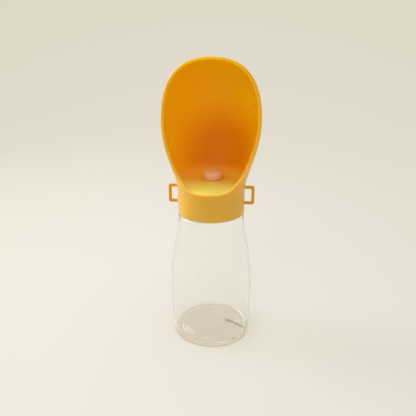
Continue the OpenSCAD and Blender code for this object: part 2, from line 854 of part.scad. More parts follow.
module poppet_seal() {
  color(seal_grey)
    ring_y(stem_r + seat_fit, poppet_r - 0.1, poppet_y1, seat_y);
}

module valve_stem() {
  color(white_plastic)
    difference() {
      union() {
        along_y(stem_r - stem_step, poppet_y0 - pilot_len / 2, poppet_y1 + eps);
        along_y(stem_r, poppet_y1, key_y0 + key_socket);
        along_y(stem_bore_r - stem_fit, seal_y - o_ring_t / 2 - land_w, seal_y + o_ring_t / 2 + land_w);
        along_y(stem_r + 0.7, seal_y, key_y0);
      }
      seal_groove(stem_bore_r, seal_y);
    }
}

module stem_seal() {
  color(seal_grey)
    translate([0, seal_y, valve_z])
      rotate([90, 0, 0])
        o_ring(stem_bore_r - o_ring_t / 2 - o_ring_slack);
}

module key_cap() {
  color(shell_orange)
    difference() {
      key_block(key_w, key_h, 2, key_y0, key_y1);
      along_y(stem_r + seat_fit, key_y0 - 1, key_y0 + key_socket + seat_fit);
      translate([0, key_y1 + dish_r - dish_depth, key_z - through / 2])
        cylinder(r = dish_r, h = through);
    }
}

module key_guard() {
  tongue_y = pad_y + slide_gap;
  face_w = 2 * (rail_x - rail_lip - slide_gap);
  face_y = rail_y + rail_t;
  color(shell_orange)
    union() {
      translate([-guard_w / 2, tongue_y, guard_z0])
        cube([guard_w, tongue_t, guard_h]);
      translate([-face_w / 2, tongue_y, guard_z0])
        cube([face_w, face_y - tongue_y, guard_h]);
      for (i = [-1 : 1])
        translate([-face_w / 2 + 1, face_y - eps, guard_z0 + guard_h / 2 + 2.6 * i - 0.5])
          cube([face_w - 2, 0.7, 1]);
    }
}

bottle();
neck_gasket();
head_shell();
inner_cap();
snap_ring();
valve_body();
valve_screws();
port_seal();
end_plug();
end_plug_seal();
inlet_strainer();
vent_valve();
outlet_nub();
return_spring();
poppet();
poppet_seal();
valve_stem();
stem_seal();
key_cap();
key_guard();
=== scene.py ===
from bisect import bisect_right
from math import acos, atan2, ceil, cos, hypot, pi, radians, sin, sqrt, tan

import bmesh
import bpy
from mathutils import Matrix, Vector


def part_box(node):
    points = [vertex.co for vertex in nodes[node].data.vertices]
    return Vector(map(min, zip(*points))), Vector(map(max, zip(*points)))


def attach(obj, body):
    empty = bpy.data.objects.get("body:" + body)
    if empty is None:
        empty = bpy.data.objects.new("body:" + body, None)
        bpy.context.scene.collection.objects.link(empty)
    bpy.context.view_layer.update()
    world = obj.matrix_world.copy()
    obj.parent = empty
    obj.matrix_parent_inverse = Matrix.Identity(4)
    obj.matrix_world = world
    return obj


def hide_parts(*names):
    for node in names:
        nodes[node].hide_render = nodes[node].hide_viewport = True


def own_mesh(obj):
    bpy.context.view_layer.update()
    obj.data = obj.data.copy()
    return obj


# Dog travel bottle: clear bottle, screw-on head with a hooded scoop, key and guard at the back.
# Lengths are millimetres, and a mesh gets them in metres as it is placed.

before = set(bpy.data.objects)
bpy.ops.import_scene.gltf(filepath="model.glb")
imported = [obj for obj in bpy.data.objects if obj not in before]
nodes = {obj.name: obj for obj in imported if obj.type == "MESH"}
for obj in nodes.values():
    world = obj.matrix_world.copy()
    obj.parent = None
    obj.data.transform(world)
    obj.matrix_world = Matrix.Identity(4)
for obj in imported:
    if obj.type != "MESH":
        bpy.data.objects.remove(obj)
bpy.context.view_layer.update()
mm = 0.001
roundPull = 0.552  # the pull, as a share of the radius, that bends a curve into a quarter circle
shellLow, shellHigh = (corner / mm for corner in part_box("head_shell"))
nubLow, nubHigh = (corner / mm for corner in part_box("outlet_nub"))
keyLow, keyHigh = (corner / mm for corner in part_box("key_cap"))
guardLow, guardHigh = (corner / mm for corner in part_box("key_guard"))
springLow, springHigh = (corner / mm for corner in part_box("return_spring"))
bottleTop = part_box("bottle")[1].z / mm
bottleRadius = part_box("bottle")[1].x / mm


def clearSelection():
    if bpy.context.mode != "OBJECT":
        bpy.ops.object.mode_set(mode="OBJECT")
    bpy.ops.object.select_all(action="DESELECT")


def pickOnly(piece):
    clearSelection()
    piece.select_set(True)
    bpy.context.view_layer.objects.active = piece


def metres(lengths):
    return [length * mm for length in lengths]


def mixed(a, b, share):
    return a + (b - a) * share


def fractions(count, first=0):  # steps of one whole, up to and with 1
    return [i / count for i in range(first, count + 1)]


def eased(low, high, value):
    share = min(1, max(0, (value - low) / (high - low)))
    return share * share * (3 - 2 * share)


def along(keys, values, key):  # straight-line reading of a table whose keys rise
    spot = min(max(bisect_right(keys, key) - 1, 0), len(keys) - 2)
    share = (key - keys[spot]) / (keys[spot + 1] - keys[spot])
    return mixed(values[spot], values[spot + 1], min(1, max(0, share)))


def bezier(a, b, c, d, t):
    u = 1 - t
    weights = (u ** 3, 3 * t * u * u, 3 * t * t * u, t ** 3)
    return tuple(sum(w * x for w, x in zip(weights, axis)) for axis in zip(a, b, c, d))


def bezierLine(a, b, c, d, steps, first=0):
    return [bezier(a, b, c, d, t) for t in fractions(steps, first)]


def arcPoints(centre, radius, start, end, steps):  # angles in degrees
    angles = [radians(mixed(start, end, t)) for t in fractions(steps)]
    return [(centre[0] + radius * cos(a), centre[1] + radius * sin(a)) for a in angles]


def runLengths(points):
    lengths = [0.0]
    for p, q in zip(points, points[1:]):
        lengths.append(lengths[-1] + (Vector(q) - Vector(p)).length)
    return lengths


def spreadAlong(points, shares):  # the points at these shares of the line's length
    lengths = runLengths(points)
    columns = list(zip(*points))
    return [Vector([along(lengths, c, share * lengths[-1]) for c in columns]) for share in shares]


def smoothShade(piece, degrees=35):
    pickOnly(piece)
    bpy.ops.object.shade_smooth_by_angle(angle=radians(degrees))


def applyAll(piece):
    pickOnly(piece)
    for modifier in list(piece.modifiers):
        bpy.ops.object.modifier_apply(modifier=modifier.name)


def closeHoles(piece):  # a face on each open end, and every face turned outwards
    pickOnly(piece)
    bpy.ops.object.mode_set(mode="EDIT")
    bpy.ops.mesh.select_all(action="DESELECT")
    bpy.ops.mesh.select_non_manifold()
    bpy.ops.mesh.edge_face_add()
    bpy.ops.mesh.select_all(action="SELECT")
    bpy.ops.mesh.normals_make_consistent(inside=False)
    bpy.ops.object.mode_set(mode="OBJECT")


def loft(name, rings, closed=False, capStart=True, capEnd=True):
    # A circle extruded ring after ring. Each ring lists its points in millimetres, one for each column.
    # If closed, the last ring is joined to the first. If not, a face covers either end that is capped.
    clearSelection()
    bpy.ops.mesh.primitive_circle_add(vertices=len(rings[0]), radius=mm)
    piece = bpy.context.active_object
    piece.name = piece.data.name = name
    bpy.ops.object.mode_set(mode="EDIT")
    mesh = bmesh.from_edit_mesh(piece.data)
    column = mesh.verts.layers.int.new("column")
    row = mesh.verts.layers.int.new("row")
    for index, vert in enumerate(mesh.verts):
        vert[column] = index
    for number, ring in enumerate(rings):
        if number:
            bpy.ops.mesh.extrude_region_move()
        mesh = bmesh.from_edit_mesh(piece.data)
        column = mesh.verts.layers.int["column"]
        row = mesh.verts.layers.int["row"]
        for vert in mesh.verts:
            if vert.select:
                vert[row] = number
                vert.co = Vector(ring[vert[column]]) * mm
        bmesh.update_edit_mesh(piece.data)
    for wanted, number in ((capStart, 0), (capEnd, len(rings) - 1)):
        if wanted and not closed:
            bpy.ops.mesh.select_all(action="DESELECT")
            mesh = bmesh.from_edit_mesh(piece.data)
            row = mesh.verts.layers.int["row"]
            for vert in mesh.verts:
                vert.select = vert[row] == number
            mesh.select_flush(True)
            bpy.ops.mesh.edge_face_add()
    if closed:
        bpy.ops.mesh.select_all(action="DESELECT")
        bpy.ops.mesh.select_non_manifold()
        bpy.ops.mesh.bridge_edge_loops()
    bpy.ops.mesh.select_all(action="SELECT")
    bpy.ops.mesh.normals_make_consistent(inside=False)
    bpy.ops.object.mode_set(mode="OBJECT")
    for layer in ("column", "row"):
        piece.data.attributes.remove(piece.data.attributes[layer])
    return piece


def turned(name, profile, count=96, centre=(0, 0), **ends):
    # Rings around an upright axis, from a profile of (radius, height)
    angles = [2 * pi * i / count for i in range(count)]
    rings = [[(centre[0] + r * cos(a), centre[1] + r * sin(a), z) for a in angles] for r, z in profile]
    return loft(name, rings, **ends)


def plate(name, outline, direction, start, end, bevel=0, segments=3):
    # A flat outline drawn out along X, Y or Z, with its edges rounded
    spots = {
        "x": lambda u, v, w: (w, u, v),
        "y": lambda u, v, w: (u, w, v),
        "z": lambda u, v, w: (u, v, w),
    }
    rings = [[spots[direction](u, v, w) for u, v in outline] for w in (start, end)]
    piece = loft(name, rings)
    if bevel:
        rounding = piece.modifiers.new("rounding", "BEVEL")
        rounding.width = bevel * mm
        rounding.segments = segments
        rounding.limit_method = "ANGLE"
        rounding.angle_limit = radians(30)
        applyAll(piece)
    return piece


def roundRect(centre, width, height, radius, steps=6):
    points = []
    for side, (right, up) in enumerate(((1, 1), (-1, 1), (-1, -1), (1, -1))):
        corner = (centre[0] + right * (width / 2 - radius), centre[1] + up * (height / 2 - radius))
        points += arcPoints(corner, radius, 90 * side, 90 * side + 90, steps)
    return points


def joined(name, *parts):
    pickOnly(parts[0])
    for part in parts[1:]:
        part.select_set(True)
    bpy.ops.object.join()
    whole = bpy.context.active_object
    whole.name = whole.data.name = name
    return whole


def cutOut(piece, cutter):
    cut = piece.modifiers.new("cut", "BOOLEAN")
    cut.operation = "DIFFERENCE"
    cut.solver = "EXACT"
    cut.object = cutter
    applyAll(piece)
    bpy.data.objects.remove(cutter)
    return piece


def fitOut(piece, body, slotName, material, *replaced):
    piece.data.materials.clear()
    piece.data.materials.append(material)
    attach(piece, body)
    if replaced:
        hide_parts(*replaced)
    return piece


camera = {
    "away": 413,
    "height": 281,
    "azimuth": 6,  # degrees to the right of the scoop's front
    "down": 20.44,
    "lens": 40.55,
    "shift": -0.0078,  # the bottle stands a little to the right of the picture's middle
}


def addCamera():
    turn = radians(camera["azimuth"])
    spot = Vector((camera["away"] * sin(turn), -camera["away"] * cos(turn), camera["height"])) * mm
    clearSelection()
    bpy.ops.object.camera_add(location=spot, rotation=(radians(90 - camera["down"]), 0, turn))
    lookout = bpy.context.active_object
    lookout.name = "photoCamera"
    lookout.data.lens = camera["lens"]
    lookout.data.shift_x = camera["shift"]
    lookout.data.clip_start = 0.01
    bpy.context.scene.camera = lookout


addCamera()
print("camera placed")


def newMaterial(name):
    material = bpy.data.materials.new(name)
    material.use_nodes = True
    tree = material.node_tree
    shader = tree.nodes["Principled BSDF"]
    return material, tree, shader


def addNode(tree, kind, inputs=None, **settings):
    node = tree.nodes.new(kind)
    for key, value in settings.items():
        setattr(node, key, value)
    for key, value in (inputs or {}).items():
        if isinstance(value, bpy.types.NodeSocket):
            tree.links.new(value, node.inputs[key])
        else:
            node.inputs[key].default_value = value
    return node


def setShader(shader, **values):
    for key, value in values.items():
        shader.inputs[key.replace("_", " ")].default_value = value


def objectPlace(tree):
    return addNode(tree, "ShaderNodeTexCoord").outputs["Object"]


def calc(tree, operation, a, b=0.0):
    return addNode(tree, "ShaderNodeMath", {0: a, 1: b}, operation=operation).outputs[0]


def times(tree, a, b):
    return calc(tree, "MULTIPLY", a, b)


def mixShaders(tree, share, a, b):  # a where the share is 0, b where it is 1
    return addNode(tree, "ShaderNodeMixShader", {0: share, 1: a.outputs[0], 2: b.outputs[0]})


def ramp(tree, value, low, high, start=0.0, end=1.0, way="LINEAR"):  # start at low, end at high
    sockets = {"Value": value, "From Min": low, "From Max": high, "To Min": start, "To Max": end}
    return addNode(tree, "ShaderNodeMapRange", sockets, interpolation_type=way).outputs[0]


def blended(tree, share, a, b):  # a where the share is 0, b where it is 1
    colors = [c if isinstance(c, bpy.types.NodeSocket) else (*c, 1) for c in (a, b)]
    sockets = {"Factor": share, 6: colors[0], 7: colors[1]}
    return addNode(tree, "ShaderNodeMix", sockets, data_type="RGBA").outputs[2]


def attribute(tree, name):
    return addNode(tree, "ShaderNodeAttribute", attribute_name=name).outputs["Fac"]


def distance(tree, place, spot):
    return addNode(tree, "ShaderNodeVectorMath", {0: place, 1: spot}, operation="DISTANCE").outputs["Value"]


def anyRay(tree, *kinds):  # 1 where the ray is of one of these kinds
    path = addNode(tree, "ShaderNodeLightPath")
    found = path.outputs[kinds[0]]
    for kind in kinds[1:]:
        found = calc(tree, "MAXIMUM", found, path.outputs[kind])
    return found


def finishGroup():
    # Moulded plastic's surface: fine grain, slow unevenness, and a slight drift of shade and gloss
    group = bpy.data.node_groups.new("mouldedFinish", "ShaderNodeTree")
    sockets = (
        ("Color", "INPUT", "NodeSocketColor", (0.8, 0.4, 0.1, 1)),
        ("Drift", "INPUT", "NodeSocketFloat", 0.05),
        ("Gloss", "INPUT", "NodeSocketFloat", 0.45),
        ("Gloss Drift", "INPUT", "NodeSocketFloat", 0.06),
        ("Grain Scale", "INPUT", "NodeSocketFloat", 1600.0),
        ("Grain Depth", "INPUT", "NodeSocketFloat", 0.04),
        ("Color", "OUTPUT", "NodeSocketColor", None),
        ("Roughness", "OUTPUT", "NodeSocketFloat", None),
        ("Normal", "OUTPUT", "NodeSocketVector", None),
    )
    for name, way, kind, value in sockets:
        socket = group.interface.new_socket(name, in_out=way, socket_type=kind)
        if value is not None:
            socket.default_value = value
    given = addNode(group, "NodeGroupInput").outputs
    place = objectPlace(group)
    slow = addNode(group, "ShaderNodeTexNoise", {"Vector": place, "Scale": 38.0, "Detail": 3.0})
    fine = addNode(group, "ShaderNodeTexNoise", {
        "Vector": place, "Scale": given["Grain Scale"], "Detail": 2.0,
    })
    centred = calc(group, "SUBTRACT", slow.outputs["Fac"], 0.5)
    value = calc(group, "ADD", times(group, centred, given["Drift"]), 1.0)
    shade = addNode(group, "ShaderNodeHueSaturation", {"Color": given["Color"], "Value": value})
    rough = calc(group, "ADD", times(group, centred, given["Gloss Drift"]), given["Gloss"])
    bump = addNode(group, "ShaderNodeBump", {
        "Height": fine.outputs["Fac"], "Strength": given["Grain Depth"], "Distance": 0.0004,
    })
    results = addNode(group, "NodeGroupOutput").inputs
    group.links.new(shade.outputs[0], results["Color"])
    group.links.new(rough, results["Roughness"])
    group.links.new(bump.outputs[0], results["Normal"])
    return group


mouldedFinish = finishGroup()


def mouldedMaterial(name, color, drift, gloss, glossDrift, grainScale, grainDepth, **shaderValues):
    material, tree, shader = newMaterial(name)
    finish = addNode(tree, "ShaderNodeGroup", node_tree=mouldedFinish)
    finish.name = "finish"
    values = {
        "Color": (*color, 1), "Drift": drift, "Gloss": gloss, "Gloss Drift": glossDrift,
        "Grain Scale": grainScale, "Grain Depth": grainDepth,
    }
    for key, value in values.items():
        finish.inputs[key].default_value = value
    tree.links.new(finish.outputs["Color"], shader.inputs["Base Color"])
    tree.links.new(finish.outputs["Roughness"], shader.inputs["Roughness"])
    tree.links.new(finish.outputs["Normal"], shader.inputs["Normal"])
    setShader(shader, **shaderValues)
    return material


orangeTint = {
    "outside": (0.89, 0.475, 0.045),
    "hollow": (1.0, 0.575, 0.006),  # painted light: inside the scoop, a brighter and deeper orange stands in for light coming through the wall and bouncing around the scoop
    "deep": (0.75, 0.265, 0.0005),  # painted shade, low at the back, behind the nub
    "deepSpot": (8, 32, 172),
    "deepReach": (14, 64),  # all painted shade up to the first distance from the spot, none from the second
    "lip": (1.0, 0.77, 0.15),  # painted glow: the floor turns a paler yellow towards the thin lip, where light comes through it
    "loop": (0.74, 0.37, 0.015),  # painted shade: the small parts outside the collar are a darker, plainer orange
    "glow": (0.7, 0.1),  # subsurface share of the thick walls and of the small parts
    "sheen": (0.75, 0.0),  # coat of the outer side and of the dull scoop
}


def orangePlastic():  # its four attributes are painted by markTints
    s = orangeTint
    material = mouldedMaterial(
        "orangePlastic", s["outside"], drift=0.05, gloss=0.4, glossDrift=0.08,
        grainScale=1500.0, grainDepth=0.06,
        Specular_IOR_Level=0.12, Coat_Roughness=0.35,
        Subsurface_Weight=s["glow"][0], Subsurface_Radius=(1.0, 0.7, 0.12), Subsurface_Scale=0.004,
    )
    tree = material.node_tree
    shader = tree.nodes["Principled BSDF"]
    place = objectPlace(tree)
    # Painted light and shade: a brighter glow inside the scoop, painted shade behind the nub, a painted
    # yellow glow at the lip and painted shade on the small parts
    away = distance(tree, place, metres(s["deepSpot"]))
    deep = ramp(tree, away, *metres(s["deepReach"]), 1.0, 0.0, "SMOOTHSTEP")
    hollow = blended(tree, deep, s["hollow"], s["deep"])
    tint = blended(tree, attribute(tree, "hollow"), s["outside"], hollow)
    tint = blended(tree, attribute(tree, "lip"), tint, s["lip"])
    tint = blended(tree, attribute(tree, "loop"), tint, s["loop"])
    tree.links.new(tint, tree.nodes["finish"].inputs["Color"])
    sheen = ramp(tree, attribute(tree, "dull"), 0.0, 1.0, *s["sheen"])
    tree.links.new(sheen, shader.inputs["Coat Weight"])
    glow = ramp(tree, attribute(tree, "loop"), 0.0, 1.0, *s["glow"])
    tree.links.new(glow, shader.inputs["Subsurface Weight"])
    return material


clearTint = {
    "wall": (0.985, 0.985, 0.98),
    "base": (0.972, 0.96, 0.948),  # the thick base is a little greyer: partly the thick plastic's own tint, partly painted shade of the floor seen through it
    "line": (0.22, 0.22, 0.21),  # painted dark lines standing in for dark refraction along the groove's crest and at the shoulder's edge
    "wallShade": (0.91, 0.895, 0.86),  # what is left of the light that goes on to the floor
    "baseShade": (0.80, 0.71, 0.55),
    "baseTop": (9, 12),  # the base's tint fades out between these heights
    "baseRim": (34.5, 36.5),  # and between these radii
    "shoulder": 119,  # rays inside the shoulder are let through above this height
    "shoulderEdge": 120.8,  # the shoulder's painted dark edge is drawn above this one
    "edgeFacing": (0.5, 0.65),  # and where the surface turns this far from the viewer
    "grooveHalf": 8,  # no ray is let through this near the groove's middle
    "grooveInner": 10,  # from this distance outwards
    "crestAside": 1,  # the crest's line lies this far from the middle
    "crestHalf": (0.9, 1.8),  # and fades out over these distances from itself
    "crestStart": (12, 16),
}


def clearPlastic():
    # Light that reaches the floor goes straight through, with a slight loss at each wall.
    # So do rays that are caught inside the base or the shoulder, which would end as black lines.
    s = clearTint
    material, tree, shader = newMaterial("clearBottlePlastic")
    setShader(shader, Roughness=0.02, IOR=1.46, Transmission_Weight=1.0, Specular_IOR_Level=0.5)
    place = objectPlace(tree)
    waves = addNode(tree, "ShaderNodeTexNoise", {"Vector": place, "Scale": 12.0, "Detail": 1.0})
    bump = addNode(tree, "ShaderNodeBump", {
        "Height": waves.outputs["Fac"], "Strength": 0.01, "Distance": 0.002,
    })
    tree.links.new(bump.outputs[0], shader.inputs["Normal"])
    across, back, height = addNode(tree, "ShaderNodeSeparateXYZ", {0: place}).outputs
    flat = addNode(tree, "ShaderNodeCombineXYZ", {0: across, 1: back}).outputs[0]
    radius = distance(tree, flat, (0, 0, 0))
    low = ramp(tree, height, *metres(s["baseTop"]), 1.0, 0.0)
    thick = times(tree, ramp(tree, radius, *metres(s["baseRim"]), 1.0, 0.0), low)

    # The painted dark lines, which stand in for dark refraction: out is the distance along the groove, and
    # aside the distance from its middle
    swung = addNode(tree, "ShaderNodeVectorRotate", {
        "Vector": place, "Angle": radians(-bottle["grooveAngle"]),
    }, rotation_type="Z_AXIS").outputs[0]
    out, aside = addNode(tree, "ShaderNodeSeparateXYZ", {0: swung}).outputs[:2]
    crestOff = calc(tree, "ABSOLUTE", calc(tree, "SUBTRACT", aside, s["crestAside"] * mm))
    crest = ramp(tree, crestOff, *metres(s["crestHalf"]), 1.0, 0.0)
    start = ramp(tree, out, *metres(s["crestStart"]))
    crest = times(tree, times(tree, crest, start), low)
    # Painted shade: the shoulder's edge darkens where its surface turns away from the viewer
    facing = addNode(tree, "ShaderNodeLayerWeight", {"Blend": 0.5}).outputs["Facing"]
    brim = calc(tree, "GREATER_THAN", height, s["shoulderEdge"] * mm)
    edge = times(tree, ramp(tree, facing, *s["edgeFacing"]), brim)
    # Painted shade in the base colour: the thick base a little greyer, and dark lines along the groove's
    # crest and the shoulder's edge
    tint = blended(tree, thick, s["wall"], s["base"])
    tint = blended(tree, calc(tree, "MAXIMUM", crest, edge), tint, s["line"])
    tree.links.new(tint, shader.inputs["Base Color"])

    # The rays that are let through
    path = addNode(tree, "ShaderNodeLightPath").outputs
    beside = calc(tree, "GREATER_THAN", calc(tree, "ABSOLUTE", aside), s["grooveHalf"] * mm)
    within = calc(tree, "LESS_THAN", out, s["grooveInner"] * mm)
    offGroove = times(tree, calc(tree, "MAXIMUM", beside, within), low)
    reflected = calc(tree, "GREATER_THAN", path["Glossy Depth"], 0.5)
    shoulder = calc(tree, "GREATER_THAN", height, s["shoulder"] * mm)
    entered = calc(tree, "GREATER_THAN", path["Transmission Depth"], 0.5)
    caught = calc(tree, "MAXIMUM", times(tree, reflected, offGroove), times(tree, shoulder, entered))
    straight = addNode(tree, "ShaderNodeBsdfTransparent", {"Color": (*s["wall"], 1)})
    seen = mixShaders(tree, caught, shader, straight)
    shade = blended(tree, low, s["wallShade"], s["baseShade"])
    through = addNode(tree, "ShaderNodeBsdfTransparent", {"Color": shade})
    mix = mixShaders(tree, anyRay(tree, "Is Shadow Ray", "Is Diffuse Ray"), seen, through)
    tree.links.new(mix.outputs[0], tree.nodes["Material Output"].inputs["Surface"])
    return material


orange = orangePlastic()
white = mouldedMaterial(
    "whitePlastic", (0.86, 0.86, 0.83), drift=0.03, gloss=0.38, glossDrift=0.06,
    grainScale=1200.0, grainDepth=0.04, Specular_IOR_Level=0.5,
)
# Peach: pale silicone, with part of the orange light that the scoop throws onto the nub painted into its
# colour
silicone = mouldedMaterial(
    "paleSilicone", (0.85, 0.50, 0.26), drift=0.04, gloss=0.42, glossDrift=0.08,
    grainScale=900.0, grainDepth=0.05,
    Subsurface_Weight=0.5, Subsurface_Radius=(1.0, 0.6, 0.4), Subsurface_Scale=0.004,
)
rubber = mouldedMaterial(
    "greyRubber", (0.24, 0.25, 0.27), drift=0.08, gloss=0.62, glossDrift=0.1,
    grainScale=1400.0, grainDepth=0.12, Specular_IOR_Level=0.35,
)
steel = mouldedMaterial(
    "springSteel", (0.62, 0.63, 0.65), drift=0.06, gloss=0.28, glossDrift=0.12,
    grainScale=2600.0, grainDepth=0.1, Metallic=1.0,
)
print("materials made")


head = {
    "collarRadius": 31,
    "flareFoot": 145.8,  # where the collar starts to widen
    "widest": 208.6,
    "flarePull": (14.6, 28.1),
    "crownPull": (0.53, 0.79),
    "wall": 3,
    "lipWall": 1.5,
    "lip": (-31, 149.9),  # (y, z) of the rim's outline
    "rimTurn": (-16, 169),
    "rimPullLip": (5, 0.5),
    "rimPullTurn": (3, 11),
    "rimPullCrown": (5.5, 48),
    "rimRound": 1.3,
    "floor": 152.2,
    "floorUnder": 149.6,
    "floorSlope": 0.1,
    "slopeStart": -8,
    "filletTop": 160.2,
    "fillet": 8,
    "lipFillet": 4,
    "boreRadius": 28.8,
    "collarFootRound": 0.5,
    "snapGroove": (125.0, 126.0, 29.7),
    "joinHeight": 144,  # the hood's rows end here, and the collar's begin
    "outletY": 12.5,
    "outletRadius": 6.5,
    "lipStart": 132,  # degrees from the back, where the hollow's side starts to fade into the lip
    "lipFull": 168,
    "stations": 84,  # along the rim, from crown to lip
    "floorSteps": 8,  # the inner side is drawn in these steps, then divided into even rows
    "cornerSteps": 12,
    "wallSteps": 60,
    "innerRows": 62,
    "rimRows": 7,
    "outerRows": 44,
    "outerSpread": 1.25,  # above 1, the outer rows lie closer together at the rim
    "underShift": 4,  # the floor's underside slopes from this much further back
}
crownTop = shellHigh.z
collarFoot = shellLow.z
widestRadius = shellHigh.y
outlineSteps = 300


def sideOutline(wall):  # (radius, height) from the crown down to the collar
    foot = (head["collarRadius"] - wall, head["flareFoot"])
    wide = (widestRadius - wall, head["widest"])
    top = (0, crownTop - wall)
    pull = head["flarePull"]
    share = head["crownPull"]
    flare = [(foot[0], foot[1] + pull[0]), (wide[0], wide[1] - pull[1])]
    dome = [(wide[0], wide[1] + share[0] * (top[1] - wide[1])), (share[1] * wide[0], top[1])]
    line = bezierLine(foot, *flare, wide, outlineSteps) + bezierLine(wide, *dome, top, outlineSteps, 1)
    return line[::-1] + [(foot[0], collarFoot)]


def sideTable(wall):
    outline = sideOutline(wall)
    radii, heights = zip(*outline)
    drops = [-z for z in heights]
    return {"radius": radii, "height": heights, "length": runLengths(outline), "drop": drops}


outerSide = sideTable(0)
innerSide = sideTable(head["wall"])


def sideAt(side, column, height):  # the side's radius, or its length from the crown, at this height
    return along(side["drop"], side[column], -height)


def chartPoint(side, spot):
    # The hood unrolled from its crown: spot is (sideways, back) at the distance measured along the wall
    length = hypot(*spot)
    turn = atan2(spot[0], spot[1])
    r, z = (along(side["length"], side[column], length) for column in ("radius", "height"))
    return Vector((r * sin(turn), r * cos(turn), z))


def rimOutline():  # (y, z) of the rim seen from the side, drawn back by the round of its edge
    lip, turn, crown = head["lip"], head["rimTurn"], (0, crownTop)
    lipPull, turnPull, crownPull = head["rimPullLip"], head["rimPullTurn"], head["rimPullCrown"]
    low = (
        lip, (lip[0] + lipPull[0], lip[1] + lipPull[1]),
        (turn[0] - turnPull[0], turn[1] - turnPull[1]), turn,
    )
    high = (
        turn, (turn[0] + turnPull[0], turn[1] + turnPull[1]),
        (-crownPull[0], crown[1] - crownPull[1]), crown,
    )
    line = bezierLine(*low, outlineSteps) + bezierLine(*high, outlineSteps, 1)
    drawn = []
    for before, spot, after in zip([line[0]] + line, line, line[1:] + [line[-1]]):
        run = (Vector(after) - Vector(before)).normalized()
        drawn.append((spot[0] + run.y * head["rimRound"], spot[1] - run.x * head["rimRound"]))
    return drawn


def rimChart():  # the rim's right half on the outer side, from crown to lip, in the unrolled chart
    spots = []
    for y, z in rimOutline():
        r = sideAt(outerSide, "radius", z)
        if abs(y) < r:
            length = sideAt(outerSide, "length", z)
            turn = acos(y / r)
            spots.append((length * sin(turn), length * cos(turn)))
    lipLength = sideAt(outerSide, "length", head["lip"][1] - head["rimRound"])
    lastTurn = atan2(*spots[0])
    lipTurns = [mixed(pi, lastTurn, t) for t in fractions(6)[:-1]]
    lipSpots = [(lipLength * sin(a), lipLength * cos(a)) for a in lipTurns]
    crownSpot = (0, head["rimRound"])
    return [crownSpot] + spots[::-1] + lipSpots[::-1]


def rimStations():
    chart = rimChart()
    places = [chartPoint(outerSide, spot) for spot in chart]
    lengths = runLengths(places)
    sides, backs = zip(*chart)
    runs = [lengths[-1] * t for t in fractions(head["stations"])]
    return [(along(lengths, sides, run), along(lengths, backs, run)) for run in runs]


def bezierRun(start, startWay, end, endWay, rows):  # a round edge between two walls, without its ends
    chord = (end - start).length
    swing = max(0.2, startWay.angle(endWay))
    handle = chord * 2 / 3 * tan(swing / 4) / sin(swing / 2)
    line = bezierLine(start, start + startWay * handle, end - endWay * handle, end, rows + 1, 1)
    return [Vector(spot) for spot in line[:-1]]


def upBy(height):
    return Vector((0, 0, height))


def floorHeight(y, level):
    return level - head["floorSlope"] * max(0, head["slopeStart"] - y)


